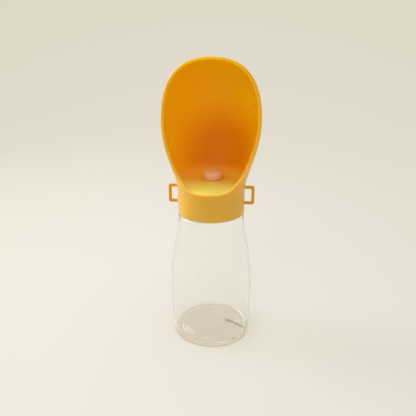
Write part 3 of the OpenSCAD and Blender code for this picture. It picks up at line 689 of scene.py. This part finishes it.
def hoodColumns():
    stations = rimStations()
    filletLength = sideAt(innerSide, "length", head["filletTop"])
    filletRadius = sideAt(innerSide, "radius", head["filletTop"])
    outerFilletLength = sideAt(outerSide, "length", head["filletTop"])
    joinLength = sideAt(outerSide, "length", head["joinHeight"])
    turns = [atan2(*spot) for spot in stations]
    firstFront = min(i for i, spot in enumerate(stations) if hypot(*spot) > outerFilletLength)
    frontTurn = turns[firstFront]
    columns = []
    for i, spot in enumerate(stations):
        back = i < firstFront
        turn = frontTurn * i / firstFront if back else turns[i]
        way = Vector((sin(turn), cos(turn), 0))
        length = hypot(*spot)
        rimWay = Vector((sin(turns[i]), cos(turns[i]), 0))
        degrees = turn * 180 / pi
        lipness = eased(head["lipStart"], head["lipFull"], degrees)

        # Inner side of the rim, straight across the wall
        innerLength = along(outerSide["length"], innerSide["length"], length)
        innerSpot = tuple(c * innerLength / length for c in spot)
        innerRim = chartPoint(innerSide, innerSpot)
        innerRim += rimWay * (head["wall"] - head["lipWall"]) * lipness
        innerRim.z += head["rimRound"] * lipness

        # From the outlet's hole over the floor, round the corner and up the wall
        hole = Vector((0, head["outletY"], head["floor"])) + way * head["outletRadius"]
        wallFoot = way * filletRadius + upBy(head["filletTop"]) if back else innerRim
        wallWay = upBy(1).lerp(rimWay, lipness).normalized()
        reach = mixed(head["fillet"], head["lipFillet"], lipness)
        corner = wallFoot - way * reach
        corner.z = floorHeight(corner.y, head["floor"])
        outwards = Vector(way)
        outwards.z = floorHeight(corner.y + way.y, head["floor"]) - corner.z
        rise = wallFoot.z - corner.z
        cornerLine = bezierLine(
            corner, corner + outwards * reach * roundPull,
            wallFoot - wallWay * mixed(rise, reach, lipness) * roundPull, wallFoot, head["cornerSteps"],
        )
        floorLine = [hole.lerp(corner, t) for t in fractions(head["floorSteps"])[:-1]]
        for p in floorLine:
            p.z = floorHeight(p.y, head["floor"])
        path = [tuple(p) for p in floorLine] + cornerLine
        if back:
            start = (filletLength * sin(turn), filletLength * cos(turn))
            for t in fractions(head["wallSteps"], 1):
                place = tuple(mixed(a, b, t) for a, b in zip(start, innerSpot))
                path.append(tuple(chartPoint(innerSide, place)))
        innerRun = spreadAlong(path, fractions(head["innerRows"]))

        # Down the outer side to the collar
        end = (joinLength * sin(turn), joinLength * cos(turn))
        shares = [t ** head["outerSpread"] for t in fractions(head["outerRows"])]
        outerSpots = [tuple(mixed(a, b, share) for a, b in zip(spot, end)) for share in shares]
        outerRun = [chartPoint(outerSide, place) for place in outerSpots]
        innerWay = (innerRun[-1] - innerRun[-2]).normalized()
        outerWay = (outerRun[1] - outerRun[0]).normalized()
        rimRun = bezierRun(innerRun[-1], innerWay, outerRun[0], outerWay, head["rimRows"])

        # Collar, its bore and the underside of the floor
        ring = way * head["collarRadius"]
        bore = way * head["boreRadius"]
        grooveLow, grooveHigh, grooveRadius = head["snapGroove"]
        groove = way * grooveRadius
        under = floorHeight(bore.y + head["underShift"], head["floorUnder"])
        holeUnder = Vector((hole.x, hole.y, head["floorUnder"]))
        footBend = head["collarFootRound"]
        heights = [mixed(head["joinHeight"], collarFoot + footBend, t) for t in fractions(6, 1)]
        collarRun = [ring + upBy(z) for z in heights]
        bendCentre = (head["collarRadius"] - footBend, collarFoot + footBend)
        footRound = arcPoints(bendCentre, footBend, 0, -90, 3)
        collarRun += [way * r + upBy(z) for r, z in footRound[1:]]
        collarRun += [bore + upBy(z) for z in (collarFoot, grooveLow)]
        collarRun += [groove + upBy(z) for z in (grooveLow, grooveHigh)]
        collarRun += [bore + upBy(mixed(grooveHigh, under, t)) for t in fractions(5)]
        floorUnder = [(bore + upBy(under)).lerp(holeUnder, t) for t in fractions(6, 1)]
        for p in floorUnder:
            p.z = floorHeight(min(0, p.y + head["underShift"]), head["floorUnder"])
        columns.append(innerRun + rimRun + outerRun + collarRun + floorUnder)
    return columns


def headShell():
    half = hoodColumns()
    mirrored = [[Vector((-p.x, p.y, p.z)) for p in column] for column in half[-2:0:-1]]
    columns = half + mirrored
    rings = [[column[row] for column in columns] for row in range(len(half[0]))]
    piece = loft("headShell", rings, closed=True)
    smoothShade(piece, 50)
    return piece


shell = headShell()
print("head shell lofted", len(shell.data.polygons))


tintZones = {
    "hollowDepth": (2.4, 2.95),  # in from the outer side
    "hollowRise": (-1, 14),  # above the floor
    "lipDepth": (0.6, 1.8),
    "lipReach": (-12, 13),  # towards the front
    "lipFade": 14,
    "dullDepth": (0.1, 0.5),
    "dullRise": (-4, -2),
    "loopOut": (0.4, 2),  # out from the collar
    "padBack": (31.5, 32.5),  # the key's pad, the key and the guard get half of the loops' share, painted shade included
    "padShare": 0.5,
}


def markTints(piece):  # masks for the painted light and the coat: hollow is 1 inside the scoop, lip at the floor's front, loop on the small parts, and dull where nothing shines
    s = tintZones
    names = ("hollow", "lip", "loop", "dull")
    for name in names:
        piece.data.attributes.new(name, "FLOAT", "POINT")
    hollow, lip, loop, dull = (piece.data.attributes[name].data for name in names)
    for vert in piece.data.vertices:
        x, y, z = vert.co / mm
        depth = sideAt(outerSide, "radius", z) - hypot(x, y)
        rise = z - head["floor"]
        front = eased(*s["lipReach"], -y) * (1 - eased(0, s["lipFade"], rise))
        besideCollar = eased(*s["loopOut"], -depth)
        outside = besideCollar if abs(y) < strapLoop["depth"] else s["padShare"] * eased(*s["padBack"], y)
        small = outside if z < strapLoop["top"] + 1 else 0
        hollow[vert.index].value = eased(*s["hollowDepth"], depth) * eased(*s["hollowRise"], rise)
        lip[vert.index].value = eased(*s["lipDepth"], depth) * front
        loop[vert.index].value = small
        dull[vert.index].value = max(small, eased(*s["dullDepth"], depth) * eased(*s["dullRise"], rise))


strapLoop = {
    "reach": 40,
    "root": 29.6,
    "top": 150.0,
    "bottom": 132.3,
    "bar": 2.8,
    "arm": 2.6,
    "depth": 2.4,
    "round": 2.2,
    "gapRound": 1.0,
    "edge": 0.6,
}


def loopLine(reach, top, bottom, corner):  # out along the upper arm, down the bar and back
    root = strapLoop["root"]
    line = [(mixed(root, reach - corner, t), top) for t in fractions(4)[:-1]]
    line += arcPoints((reach - corner, top - corner), corner, 90, 0, 8)
    line += arcPoints((reach - corner, bottom + corner), corner, 0, -90, 8)
    return line + [(mixed(reach - corner, root, t), bottom) for t in fractions(4, 1)]


def addStrapLoop(side):
    s = strapLoop
    outer = loopLine(s["reach"], s["top"], s["bottom"], s["round"])
    inner = loopLine(s["reach"] - s["bar"], s["top"] - s["arm"], s["bottom"] + s["arm"], s["gapRound"])
    rings = []
    for a, b in zip(outer, inner):
        across = Vector(a) - Vector(b)
        middle = (Vector(a) + Vector(b)) / 2
        way = across.normalized()
        section = roundRect((0, 0), across.length, s["depth"], s["edge"], 4)
        rings.append([(side * (middle.x + way.x * u), v, middle.y + way.y * u) for u, v in section])
    return loft("strapLoop", rings)


keyPad = {
    "width": 24,
    "root": 26.5,
    "face": 33,
    "below": 1.1,  # from the guard's lower edge down to the pad's
    "above": 12.1,  # from the guard's upper edge up to the pad's
    "corner": 1.6,
    "railInner": 8.9,
    "railWidth": 1.7,
    "railLip": 1.4,
    "railDepth": 1.6,  # from the pad to the lip
    "railFoot": 0.8,  # sunk into the pad
    "lipThickness": 1.2,
    "stop": 0.8,
    "stopHeight": 1,
    "stopOver": 0.5,  # how far it runs into each rail
    "stopCorner": 0.2,
    "stopEdge": 0.15,
    "railEdge": 0.3,
    "edge": 0.45,
}


def addKeyPad():
    s = keyPad
    low, high = guardLow.z - s["below"], guardHigh.z + s["above"]
    outline = roundRect((0, (low + high) / 2), s["width"], high - low, s["corner"])
    parts = [plate("pad", outline, "y", s["root"], s["face"], s["edge"])]
    foot = s["face"] - s["railFoot"]
    lip = s["face"] + s["railDepth"]
    top = lip + s["lipThickness"]
    for side in (-1, 1):
        outer = side * (s["railInner"] + s["railWidth"])
        inner = side * s["railInner"]
        nose = side * (s["railInner"] - s["railLip"])
        rail = [(outer, foot), (outer, top), (nose, top), (nose, lip), (inner, lip), (inner, foot)]
        parts.append(plate("rail", rail, "z", low, high, s["railEdge"], 2))
    for z in (low, high - s["stop"]):
        width = 2 * (s["railInner"] + s["stopOver"])
        bar = roundRect((0, z + s["stop"] / 2), width, s["stop"], s["stopCorner"], 2)
        parts.append(plate("stop", bar, "y", foot, s["face"] + s["stopHeight"], s["stopEdge"], 2))
    return parts


keyPocket = {
    "clear": 0.3,
    "corner": 2.3,
    "inner": 21,
    "flare": 0.35,
    "past": 2,  # how far the cutter stands out of the pad
}


def pocketCutter():
    s = keyPocket
    width = keyHigh.x - keyLow.x + 2 * s["clear"]
    height = keyHigh.z - keyLow.z + 2 * s["clear"]
    middle = (0, (keyHigh.z + keyLow.z) / 2)
    face = keyPad["face"]
    rings = []
    flare = s["flare"]
    for y, wider in ((s["inner"], 0), (face - flare, 0), (face, flare), (face + s["past"], flare)):
        outline = roundRect(middle, width + 2 * wider, height + 2 * wider, s["corner"] + wider, 8)
        rings.append([(x, y, z) for x, z in outline])
    return loft("pocket", rings)


shell = cutOut(shell, pocketCutter())
padParts = addKeyPad()
padParts[0] = cutOut(padParts[0], pocketCutter())
shell = joined("headShell", shell, *padParts, addStrapLoop(1), addStrapLoop(-1))
markTints(shell)
smoothShade(shell, 40)
fitOut(shell, "head", "orange_plastic", orange, "head_shell")
print("head fitted with key pad and strap loops")


keyCap = {
    "corner": 2,
    "edge": 0.5,
    "backEdge": 0.3,
    "dishDepth": 0.5,
    "dishFade": 3.5,  # how steeply the dish starts at the face's edge
    "dishShares": (0.93, 0.86, 0.72, 0.55, 0.36, 0.18),
}


def addKey():
    s = keyCap
    middle = (0, (keyHigh.z + keyLow.z) / 2)
    width, height = keyHigh.x - keyLow.x, keyHigh.z - keyLow.z
    edge, backEdge = s["edge"], s["backEdge"]
    rows = [(keyLow.y, backEdge), (keyLow.y + backEdge, 0), (keyHigh.y - edge, 0)]
    rows += [(keyHigh.y - edge * (1 - sin(radians(a))), edge * (1 - cos(radians(a)))) for a in (30, 60, 90)]
    rings = []
    for y, inset in rows:
        outline = roundRect(middle, width - 2 * inset, height - 2 * inset, s["corner"] - inset, 8)
        rings.append([(x, y, z) for x, z in outline])
    face = rings[-1]
    for share in s["dishShares"]:
        ring = []
        for x, y, z in face:
            across = 1 - (2 * x * share / width) ** 2
            hollow = s["dishDepth"] * across * min(1, (1 - share) * s["dishFade"])
            ring.append((x * share, keyHigh.y - hollow, mixed(middle[1], z, share)))
        rings.append(ring)
    piece = loft("keyCap", rings)
    markTints(piece)
    smoothShade(piece, 40)
    return fitOut(piece, "key", "orange_plastic", orange, "key_cap")


keyGuard = {
    "tongue": 1.0,  # thickness of the two edges that run under the rails' lips
    "faceHalf": 7.2,
    "faceDepth": 2.5,
    "ribs": 3,
    "ribStep": 2.6,
    "ribWidth": 1.0,
    "ribInset": 1,
    "ribCorner": 0.45,
    "ribFoot": 0.4,  # sunk into the face
    "edge": 0.3,
}


def addGuard():
    s = keyGuard
    half = guardHigh.x
    middle = (guardLow.z + guardHigh.z) / 2
    back = guardLow.y
    step = back + s["tongue"]
    face = back + s["faceDepth"]
    outline = [(-half, back), (half, back), (half, step), (s["faceHalf"], step), (s["faceHalf"], face)]
    outline += [(-x, y) for x, y in outline[:1:-1]]
    parts = [plate("guard", outline, "z", guardLow.z, guardHigh.z, s["edge"])]
    for i in range(s["ribs"]):
        height = middle + (i - (s["ribs"] - 1) / 2) * s["ribStep"]
        width = 2 * (s["faceHalf"] - s["ribInset"])
        bar = roundRect((0, height), width, s["ribWidth"], s["ribCorner"], 4)
        parts.append(plate("rib", bar, "y", face - s["ribFoot"], guardHigh.y, s["edge"]))
    piece = joined("keyGuard", *parts)
    markTints(piece)
    smoothShade(piece, 40)
    return fitOut(piece, "guard", "orange_plastic", orange, "key_guard")


addKey()
addGuard()
print("key and guard made")


bottle = {
    "columns": 240,
    "shoulder": 123.2,
    "collarRadius": 31,
    "straight": 114.75,  # the side is upright from here to the shoulder
    "belly": 44.8,
    "footRadius": 34.6,
    "footWidth": 6,
    "footCorner": (3, 3.95),
    "punt": 6,
    "puntEdge": 3.18,
    "puntStep": 2.6,
    "slopePull": (1.2, 0.6),
    "slopeFoot": (0.6, 0.9),
    "pullFoot": (0.8, 7.35),
    "pullBellyDown": 29.9,
    "pullBellyUp": 39.6,
    "pullShoulder": 13.35,
    "wall": 1.5,
    "base": 2,
    "shoulderRound": 2,
    "shoulderInside": 0.5,
    "insideFlat": 1.8,  # the inner floor is level up to this far inside the foot's edge
    "insidePull": (0.4, 0.1, 0.9),
    "neckRadius": 25.2,
    "neckFillet": 0.4,
    "neckBore": 23.2,
    "boreFlare": (1.2, 0.35),
    "lip": 0.5,
    "grooveRadius": 6,
    "grooveDepth": 2.4,
    "grooveFall": 12,  # degrees, falling outwards
    "grooveStart": 14,
    "grooveBlend": 1.2,
    "grooveAngle": -15,
    "grooveSoft": 0.6,
    "grooveReach": 12,  # nothing above this height is lifted
}


def bottleSide(wall, rows=26):
    s = bottle
    corner = (s["footRadius"] + s["footCorner"][0] - wall, s["footCorner"][1])
    belly = (bottleRadius - wall, s["belly"])
    neck = (s["collarRadius"] - wall, s["straight"])
    cornerPull = (corner[0] + s["pullFoot"][0], corner[1] + s["pullFoot"][1])
    lower = bezierLine(corner, cornerPull, (belly[0], belly[1] - s["pullBellyDown"]), belly, rows)
    bellyPull = (belly[0], belly[1] + s["pullBellyUp"])
    return lower + bezierLine(belly, bellyPull, (neck[0], neck[1] - s["pullShoulder"]), neck, rows, 1)


def baseLine(wall, rows=26):  # from the middle of the domed base to the foot ring
    s = bottle
    ring = s["footRadius"] - s["footWidth"]
    edge = ring - s["puntStep"]
    rise = s["punt"] - s["puntEdge"]
    dome = [(edge * t, wall + s["puntEdge"] + rise * (1 - t ** 2)) for t in fractions(rows, 1)]
    pull, foot = s["slopePull"], s["slopeFoot"]
    slope = bezierLine(
        dome[-1], (edge + pull[0], dome[-1][1] - pull[1]),
        (ring - foot[0], wall), (ring + foot[1], wall), 9, 1,
    )
    return [(0.3, wall + s["punt"])] + dome + slope


def grooveLift(x, y, z, wall):  # the drain groove climbs inwards across the foot ring
    s = bottle
    turn = radians(s["grooveAngle"])
    out = x * cos(turn) + y * sin(turn)
    aside = y * cos(turn) - x * sin(turn)
    radius = s["grooveRadius"] + wall
    if z > s["grooveReach"] or abs(aside) >= radius:
        return z
    crest = s["grooveDepth"] + (s["footRadius"] - out) * tan(radians(s["grooveFall"]))
    gap = crest - s["grooveRadius"] + sqrt(radius ** 2 - aside ** 2) - z
    start = s["grooveStart"] - wall
    share = eased(start - s["grooveBlend"], start + s["grooveBlend"], out)
    return z + (gap + hypot(gap, s["grooveSoft"])) / 2 * share


def bottleProfiles():
    s = bottle
    foot, reach, rise = s["footRadius"], *s["footCorner"]
    shoulder, neck, bore, lip = s["shoulder"], s["neckRadius"], s["neckBore"], s["lip"]
    outside = baseLine(0) + [(foot - s["footWidth"] / 2, 0), (foot, 0)]
    outside += [(foot + reach * sin(radians(a)), rise * (1 - cos(radians(a)))) for a in range(9, 90, 9)]
    outside += bottleSide(0)
    bend = s["shoulderRound"]
    outside += arcPoints((s["collarRadius"] - bend, shoulder - bend), bend, 0, 90, 6)
    outside += [(neck + s["neckFillet"], shoulder), (neck, shoulder + s["neckFillet"])]
    outside += [(neck, bottleTop - lip), (neck - lip, bottleTop)]

    side = bottleSide(s["wall"])
    floor = s["base"]
    inside = baseLine(floor)
    pull = s["insidePull"]
    inside += bezierLine(
        (foot - s["insideFlat"], floor), (foot + pull[0], floor),
        (side[0][0] - pull[1], floor + pull[2]), side[0], 8,
    )
    inside += side[1:]
    bend = s["shoulderInside"]
    under = shoulder - s["wall"]
    inside += arcPoints((s["collarRadius"] - s["wall"] - bend, under - bend), bend, 0, 90, 8)
    wide, bevel = s["boreFlare"]
    inside += [(bore + wide, under), (bore + bevel, under + bevel), (bore, under + wide)]
    inside += [(bore, bottleTop - lip), (bore + lip, bottleTop)]
    return outside, inside[::-1]


def addBottle():
    outside, inside = bottleProfiles()
    angles = [2 * pi * i / bottle["columns"] for i in range(bottle["columns"])]
    rings = []
    for profile, wall in ((outside, 0), (inside, bottle["base"])):
        for r, z in profile:
            spots = [(r * cos(a), r * sin(a)) for a in angles]
            rings.append([(x, y, grooveLift(x, y, z, wall)) for x, y in spots])
    piece = loft("bottle", rings)
    smoothShade(piece, 40)
    return piece


neckThread = {
    "crest": 1.2,
    "footWidth": 1.9,
    "crestWidth": 0.9,
    "pitch": 4,
    "turns": 1.4,
    "start": 126.4,
    "root": 0.5,
    "runOut": 0.2,  # turns over which the ridge fades at either end
    "turnSteps": 48,
}


def addNeckThread():
    s = neckThread
    clearSelection()
    bpy.ops.mesh.primitive_circle_add(vertices=4, radius=mm)
    piece = bpy.context.active_object
    piece.name = "neckThread"
    inner, outer = bottle["neckRadius"] - s["root"], bottle["neckRadius"] + s["crest"]
    foot, crest = s["footWidth"] / 2, s["crestWidth"] / 2
    corners = ((inner, -foot), (outer, -crest), (outer, crest), (inner, foot))
    for vert, (r, z) in zip(piece.data.vertices, corners):
        vert.co = Vector((r, 0, s["start"] + z)) * mm
    winding = piece.modifiers.new("winding", "SCREW")
    winding.angle = 2 * pi * s["turns"]
    winding.screw_offset = s["pitch"] * s["turns"] * mm
    winding.steps = winding.render_steps = ceil(s["turnSteps"] * s["turns"])
    winding.use_merge_vertices = False
    applyAll(piece)
    closeHoles(piece)
    for vert in piece.data.vertices:
        turn = (vert.co.z / mm - s["start"]) / s["pitch"]
        nearest = min(turn, s["turns"] - turn)
        share = min(1, max(0.1, (nearest + s["runOut"]) / s["runOut"]))
        r = hypot(vert.co.x, vert.co.y)
        narrowed = mixed(inner * mm, r, share) / r
        vert.co.x *= narrowed
        vert.co.y *= narrowed
    smoothShade(piece, 40)
    return piece


clear = clearPlastic()
fitOut(joined("bottle", addBottle(), addNeckThread()), "bottle", "clear_plastic", clear, "bottle")
print("bottle turned")


nub = {
    "round": 3.4,
    "foot": 1.2,  # round of its lower edge, on the floor
    "crown": 0.5,  # how much the top swells
    "skin": 1.4,
    "neck": 6.5,
    "socket": 3.95,
    "slitLength": 6.0,
    "slitWidth": 0.2,
    "slitOver": 1,  # how far the slit's cutter stands out of the skin
    "flange": 8.2,
    "flangeEdge": (0.2, 0.3),
    "socketRound": (0.6, 0.7),
}


def addNub():
    s = nub
    radius, top, under = nubHigh.x, nubHigh.z, head["floorUnder"]
    bend, flat = s["round"], nubHigh.x - s["round"]
    edge = top - s["crown"]
    profile = [(max(0.3, flat * t), top - s["crown"] * t ** 2) for t in fractions(5)[:-1]]
    profile += arcPoints((flat, edge - bend), bend, 90, 0, 8)
    profile += arcPoints((radius - s["foot"], head["floor"] + s["foot"]), s["foot"], 0, -90, 4)
    profile += [(s["neck"], head["floor"]), (s["neck"], under)]
    flange, socket, roof = s["flange"], s["socket"], edge - s["skin"] - 0.3
    small, large = s["flangeEdge"]
    across, down = s["socketRound"]
    profile += [(flange - small, under), (flange, under - large)]
    profile += [(flange, nubLow.z + small), (flange - large, nubLow.z)]
    profile += [(socket, nubLow.z), (socket, roof - down), (socket - across, roof), (0.3, top - s["skin"])]
    piece = turned("outletNub", profile, 72, (0, head["outletY"]))
    for long, short in ((s["slitLength"], s["slitWidth"]), (s["slitWidth"], s["slitLength"])):
        corners = ((-1, -1), (1, -1), (1, 1), (-1, 1))
        outline = [(x * long / 2, head["outletY"] + y * short / 2) for x, y in corners]
        cutter = plate("slit", outline, "z", top - s["skin"] - s["slitOver"], top + s["slitOver"])
        cutOut(piece, cutter)
    smoothShade(piece, 40)
    return fitOut(piece, "head", "pale_silicone", silicone, "outlet_nub")


addNub()
print("nub made")


spring = {
    "wire": 0.7,
    "sides": 12,  # of the wire
    "radius": 2.7,
    "turns": 4.5,
    "turnSteps": 40,
    "travel": 3.5,
}


def addSpring():
    s = spring
    start, end = springLow.y + s["wire"] / 2, springHigh.y - s["wire"] / 2
    axisZ = (springLow.z + springHigh.z) / 2
    clearSelection()
    bpy.ops.mesh.primitive_circle_add(
        vertices=s["sides"], radius=s["wire"] / 2 * mm, rotation=(pi / 2, 0, 0),
    )
    piece = bpy.context.active_object
    piece.name = piece.data.name = "returnSpring"
    bpy.ops.object.transform_apply(location=False, rotation=True, scale=False)
    for vert in piece.data.vertices:
        vert.co.x += s["radius"] * mm
    coil = piece.modifiers.new("coil", "SCREW")
    coil.angle = 2 * pi * s["turns"]
    coil.screw_offset = (end - start) * mm
    coil.steps = coil.render_steps = ceil(s["turnSteps"] * s["turns"])
    applyAll(piece)
    for vert in piece.data.vertices:  # laid along the valve's axis
        x, y, z = vert.co
        vert.co = (x, start * mm + z, axisZ * mm - y)
    closeHoles(piece)
    smoothShade(piece, 60)
    fitOut(piece, "head", "steel", steel, "return_spring")
    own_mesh(piece)
    return piece


addSpring()
print("spring wound")


finishes = {
    "neck_gasket": silicone, "vent_valve": silicone,
    "inner_cap": white, "valve_body": white, "end_plug": white, "inlet_strainer": white,
    "poppet": white, "valve_stem": white,
    "snap_ring": steel, "valve_screws": steel,
    "port_seal": rubber, "end_plug_seal": rubber, "poppet_seal": rubber, "stem_seal": rubber,
}
for nodeName, material in finishes.items():
    nodes[nodeName].data.materials.clear()
    nodes[nodeName].data.materials.append(material)


stage = {
    "flat": 900,  # radius of the level floor
    "bend": 450,
    "wall": 470,  # height of the sweep all round
    # painted light: the sweep is lightest a little left of the middle and darkens further out, faster
    # sideways and upwards
    "near": (0.806, 0.777, 0.70),
    "far": (0.73, 0.672, 0.552),
    "reach": (150, 1800),  # the near colour holds up to the first distance, the far one from the second
    "falloff": (1.5, 1.0, 2.0),  # the tint changes faster sideways and upwards
    "brightest": -60,  # along X
    "fill": 0.55,  # share of its colour that it gives the object as light
    "contact": (1, -1.5, 0),  # middle of the painted warm shadow band along the foot
    "contactRadius": 36.8,
    "contactWidth": 2.6,
    "contactFront": -20,  # the band is whole from here to the front, and gone at the axis
    "contactShadowTint": (0.68, 0.57, 0.39),  # painted warm shadow where the bottle's foot meets the floor, tinted as by light through the plastic
    "glow": 0.6,  # share of the floor's colour that needs no lamp near the bottle, and all of it far away
    "glowFull": 0.6,  # share of the way to the far colour where that is reached
}


def stageMaterial():
    s = stage
    material, tree, shader = newMaterial("creamPaper")
    setShader(shader, Roughness=0.9, Specular_IOR_Level=0.1)
    place = objectPlace(tree)
    # Painted light on the sweep: lightest a little left of the middle, darker further away
    spread = addNode(tree, "ShaderNodeMapping", {
        "Vector": place, "Location": (-s["brightest"] * mm * s["falloff"][0], 0, 0), "Scale": s["falloff"],
    }).outputs[0]
    away = ramp(tree, distance(tree, spread, (0, 0, 0)), *metres(s["reach"]))
    tint = blended(tree, away, s["near"], s["far"])
    # Painted warm shadow along the front of the bottle's foot
    ring = distance(tree, place, metres(s["contact"]))
    off = calc(tree, "ABSOLUTE", calc(tree, "SUBTRACT", ring, s["contactRadius"] * mm))
    band = ramp(tree, off, 0.0, s["contactWidth"] * mm, 1.0, 0.0, "SMOOTHSTEP")
    back = addNode(tree, "ShaderNodeSeparateXYZ", {0: place}).outputs[1]
    front = ramp(tree, back, 0.0, s["contactFront"] * mm)
    tint = blended(tree, times(tree, band, front), tint, s["contactShadowTint"])
    glow = addNode(tree, "ShaderNodeEmission", {"Color": tint, "Strength": 1.0})
    seen = anyRay(tree, "Is Camera Ray", "Is Glossy Ray", "Is Transmission Ray")
    shown = times(tree, seen, ramp(tree, away, 0.0, s["glowFull"], s["glow"], 1.0))
    given = times(tree, anyRay(tree, "Is Diffuse Ray"), s["fill"])
    share = calc(tree, "MAXIMUM", shown, given)
    mix = mixShaders(tree, share, shader, glow)
    tree.links.new(tint, shader.inputs["Base Color"])
    tree.links.new(mix.outputs[0], tree.nodes["Material Output"].inputs["Surface"])
    return material


def addStage():
    s = stage
    profile = [(1, 0)] + [(s["flat"] * t, 0) for t in fractions(6, 1)]
    profile += arcPoints((s["flat"], s["bend"]), s["bend"], -90, 0, 24)[1:]
    profile += [(s["flat"] + s["bend"], s["wall"])]
    piece = turned("creamSweep", profile, capEnd=False)
    smoothShade(piece, 60)
    piece.data.materials.append(stageMaterial())


lamps = {
    "keyLamp": {
        "spot": (-1000, 250, 850), "aim": (0, 0, 130), "size": 650, "power": 10.5, "color": (0.95, 1.0, 1.0),
    },
    "frontLamp": {
        "spot": (-250, -900, 1100), "aim": (0, 0, 180), "size": 600, "power": 2, "color": (1.0, 1.0, 0.98),
    },
}


def addLamp(name, spot, aim, size, power, color):
    way = (Vector(aim) - Vector(spot)).to_track_quat("-Z", "Y").to_euler()
    bpy.ops.object.light_add(type="AREA", location=Vector(spot) * mm, rotation=way)
    lamp = bpy.context.active_object
    lamp.name = name
    lamp.data.shape = "DISK"
    lamp.data.size = size * mm
    lamp.data.energy = power
    lamp.data.color = color


room = {"light": (1.0, 0.96, 0.90), "strength": 0.8, "seen": (0.745, 0.69, 0.57)}


def addRoom():
    world = bpy.data.worlds.new("softRoom")
    bpy.context.scene.world = world
    world.use_nodes = True
    tree = world.node_tree
    light = tree.nodes["Background"]
    light.inputs["Color"].default_value = (*room["light"], 1)
    light.inputs["Strength"].default_value = room["strength"]
    shown = addNode(tree, "ShaderNodeBackground", {"Color": (*room["seen"], 1), "Strength": 1.0})
    seen = anyRay(tree, "Is Camera Ray", "Is Glossy Ray", "Is Transmission Ray")
    mix = mixShaders(tree, seen, light, shown)
    tree.links.new(mix.outputs[0], tree.nodes["World Output"].inputs["Surface"])


clearSelection()
addStage()
for name, settings in lamps.items():
    addLamp(name, **settings)
addRoom()
bpy.context.scene.view_settings.view_transform = "Standard"
print("stage and lamps set")
